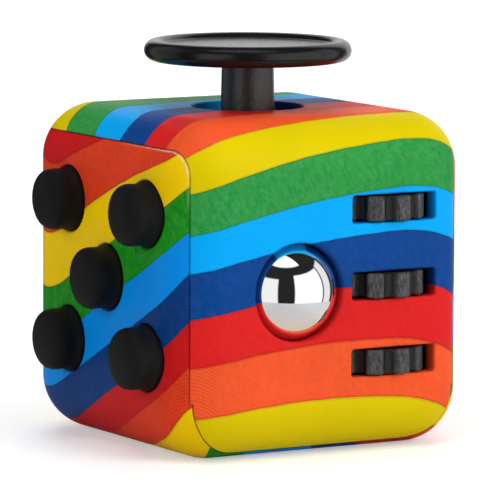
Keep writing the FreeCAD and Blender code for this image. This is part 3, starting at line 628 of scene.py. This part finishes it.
def dome_pieces():
    """The silicone sheet, and each button's dome, as pieces of their own."""
    low, high = [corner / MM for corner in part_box("dome_sheet")]
    foot = high.x - DOME_SHEET_THICK - DOME_CUT_ABOVE
    soft_copy("dome_mat", "dome_sheet", lambda shape: cut_at(shape, foot, keep_front=False))
    for number in range(1, BUTTONS + 1):
        middle = middle_of(f"button_{number}")
        joint = f"button_{number}_press"

        def one_dome(shape):
            cut_at(shape, foot, keep_front=True)
            others = [
                vert for vert in shape.verts
                if math.hypot(vert.co.y / MM - middle.y, vert.co.z / MM - middle.z) > DOME_REACH
            ]
            bmesh.ops.delete(shape, geom=others, context="VERTS")

        dome = soft_copy(f"dome_{number}", "dome_sheet", one_dome)
        keep = 1 - press_travel(joint) / (foot - low.x)
        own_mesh(dome)


def coil_piece():
    """The ball's coil spring, as a piece of its own."""
    low, high = [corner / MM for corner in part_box("ball_spring")]
    coil = soft_copy("ball_coil", "ball_spring")
    keep = 1 - press_travel("ball_press") / (high.y - low.y)
    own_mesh(coil)


dome_pieces()
coil_piece()


# Stage, light and camera, in metres and degrees

CUBE_CENTRE = Vector((0, 0, HALF * MM))
FLOOR_LAYER = 0.00001
BACKDROP_R = 2.4

# The floor that is seen, the one that light bounces off, and the patch that shows in reflections
FLOORS = [
    # name, radius, layer, albedo, glow, rays that meet it
    ("floor", 1.0, -1, 0.85, 0.37, ["camera"]),
    ("floor_bounce", 3.0, -3, 0.62, 0.0, ["diffuse", "shadow"]),
    ("floor_near", 0.055, 1, 0.75, 0.0, ["glossy"]),
]

LIGHTS = [
    # name, place, width and height, watts
    ("key", (0.30, -0.60, 0.45), (0.5, 0.4), 1.3),
    ("low", (0.35, -0.60, 0.05), (0.4, 0.3), 1.85),
    ("overhead", (-0.05, -0.05, 0.8), (0.7, 0.7), 1.9),
    ("fill", (-0.7, -0.15, 0.25), (0.4, 0.4), 1.6),
    ("rear", (0.3, 0.6, 0.45), (0.4, 0.4), 1.6),
]

# White panels that light the cube and show in the chrome, on a dark surround
STUDIO_PANELS = [
    # azimuth from -Y towards +X, elevation, brightness
    ((-88, -48), (-28, 30), 0.95),
    ((-9, 62), (-28, 38), 1.15),
    ((66, 89), (-28, 40), 0.85),
    ((-110, 24), (58, 90), 1.1),
    ((112, 165), (-28, 45), 1.0),
    ((-168, -115), (-28, 45), 0.35),
]
STUDIO_DARK = 0.02
PANEL_SOFT = 1.5

# The photo's camera, whose lens and sensor are in millimetres
CAMERA_AZIMUTH = -30.161
CAMERA_ELEVATION = 7.186
CAMERA_DISTANCE = 0.49536
CAMERA_ROLL = 0.241
CAMERA_LENS = 356.8
CAMERA_SENSOR = 36.0
CAMERA_SHIFT = (0.0063, 0.0399)


def between(angle, start, end):
    """1 from one angle to another, with soft ends."""
    risen = angle.ramp(start - PANEL_SOFT, start + PANEL_SOFT)
    return risen * angle.ramp(end + PANEL_SOFT, end - PANEL_SOFT)


def studio_world():
    """White panels round a dark room, painted by direction."""
    world = bpy.data.worlds.new("studio")
    bpy.context.scene.world = world
    world.use_nodes = True
    tree = world.node_tree
    coordinates = tree.nodes.new("ShaderNodeTexCoord")
    split = tree.nodes.new("ShaderNodeSeparateXYZ")
    tree.links.new(coordinates.outputs["Generated"], split.inputs[0])
    x, y, z = [Field(tree, output) for output in split.outputs]
    degrees = 180 / math.pi
    azimuth = x.math("ARCTAN2", 0.0 - y) * degrees
    elevation = z.math("ARCSINE") * degrees
    light = Field(tree, tree.nodes.new("ShaderNodeValue").outputs[0])
    light.socket.default_value = STUDIO_DARK
    for sides, heights, level in STUDIO_PANELS:
        inside = between(azimuth, *sides) * between(elevation, *heights)
        light = light.math("MAXIMUM", inside * level)
    tree.links.new(light.socket, tree.nodes["Background"].inputs["Color"])
    tree.nodes["Background"].inputs["Strength"].default_value = 1.0


def stage_piece(name, shape, albedo, glow, rays):
    """Puts a part of the stage in the scene, met only by the named kinds of ray."""
    mesh = bpy.data.meshes.new(name)
    shape.to_mesh(mesh)
    shape.free()
    piece = bpy.data.objects.new(name, mesh)
    bpy.context.scene.collection.objects.link(piece)
    material, _, shader = new_material(name)
    shader.inputs["Base Color"].default_value = grey(albedo)
    shader.inputs["Roughness"].default_value = 0.9
    shader.inputs["Specular IOR Level"].default_value = 0.1
    shader.inputs["Emission Color"].default_value = grey(1.0)
    shader.inputs["Emission Strength"].default_value = glow
    mesh.materials.append(material)
    for kind in ("camera", "diffuse", "glossy", "transmission", "shadow"):
        setattr(piece, f"visible_{kind}", kind in rays)


def floor_disc(name, radius, layer, albedo, glow, rays):
    """Level disc a few layers over or under the surface that the cube stands on."""
    shape = bmesh.new()
    bmesh.ops.create_circle(shape, cap_ends=True, segments=96, radius=radius)
    bmesh.ops.translate(shape, verts=shape.verts, vec=(0, 0, layer * FLOOR_LAYER))
    stage_piece(name, shape, albedo, glow, rays)


def backdrop():
    """White dome behind everything, seen only directly."""
    shape = bmesh.new()
    bmesh.ops.create_icosphere(shape, subdivisions=4, radius=BACKDROP_R)
    stage_piece("backdrop", shape, albedo=0.0, glow=1.0, rays=["camera"])


def area_light(name, place, size, power):
    """Soft rectangular light aimed at the middle of the cube."""
    light = bpy.data.lights.new(name, "AREA")
    light.shape = "RECTANGLE"
    light.size, light.size_y = size
    light.energy = power
    lamp = bpy.data.objects.new(name, light)
    lamp.location = place
    lamp.rotation_mode = "QUATERNION"
    lamp.rotation_quaternion = (CUBE_CENTRE - Vector(place)).to_track_quat("-Z", "Y")
    lamp.visible_camera = False
    lamp.visible_glossy = False
    bpy.context.scene.collection.objects.link(lamp)


studio_world()
for item in FLOORS:
    floor_disc(*item)
backdrop()
for item in LIGHTS:
    area_light(*item)


def photo_camera():
    """Camera at the front left of the cube, a little above it."""
    azimuth, elevation = math.radians(CAMERA_AZIMUTH), math.radians(CAMERA_ELEVATION)
    roll = math.radians(CAMERA_ROLL)
    back = Vector((
        math.sin(azimuth) * math.cos(elevation),
        -math.cos(azimuth) * math.cos(elevation),
        math.sin(elevation),
    ))
    right = Vector((0, 0, 1)).cross(back).normalized()
    up = back.cross(right)
    turned_right = math.cos(roll) * right + math.sin(roll) * up
    turned_up = math.cos(roll) * up - math.sin(roll) * right
    data = bpy.data.cameras.new("camera")
    data.lens = CAMERA_LENS
    data.sensor_width = CAMERA_SENSOR
    data.shift_x, data.shift_y = CAMERA_SHIFT
    camera = bpy.data.objects.new("camera", data)
    axes = Matrix((turned_right, turned_up, back)).transposed()
    camera.matrix_world = Matrix.Translation(CUBE_CENTRE + back * CAMERA_DISTANCE) @ axes.to_4x4()
    bpy.context.scene.collection.objects.link(camera)
    bpy.context.scene.camera = camera


photo_camera()
bpy.context.scene.view_settings.view_transform = "Standard"
bpy.context.scene.view_settings.look = "None"
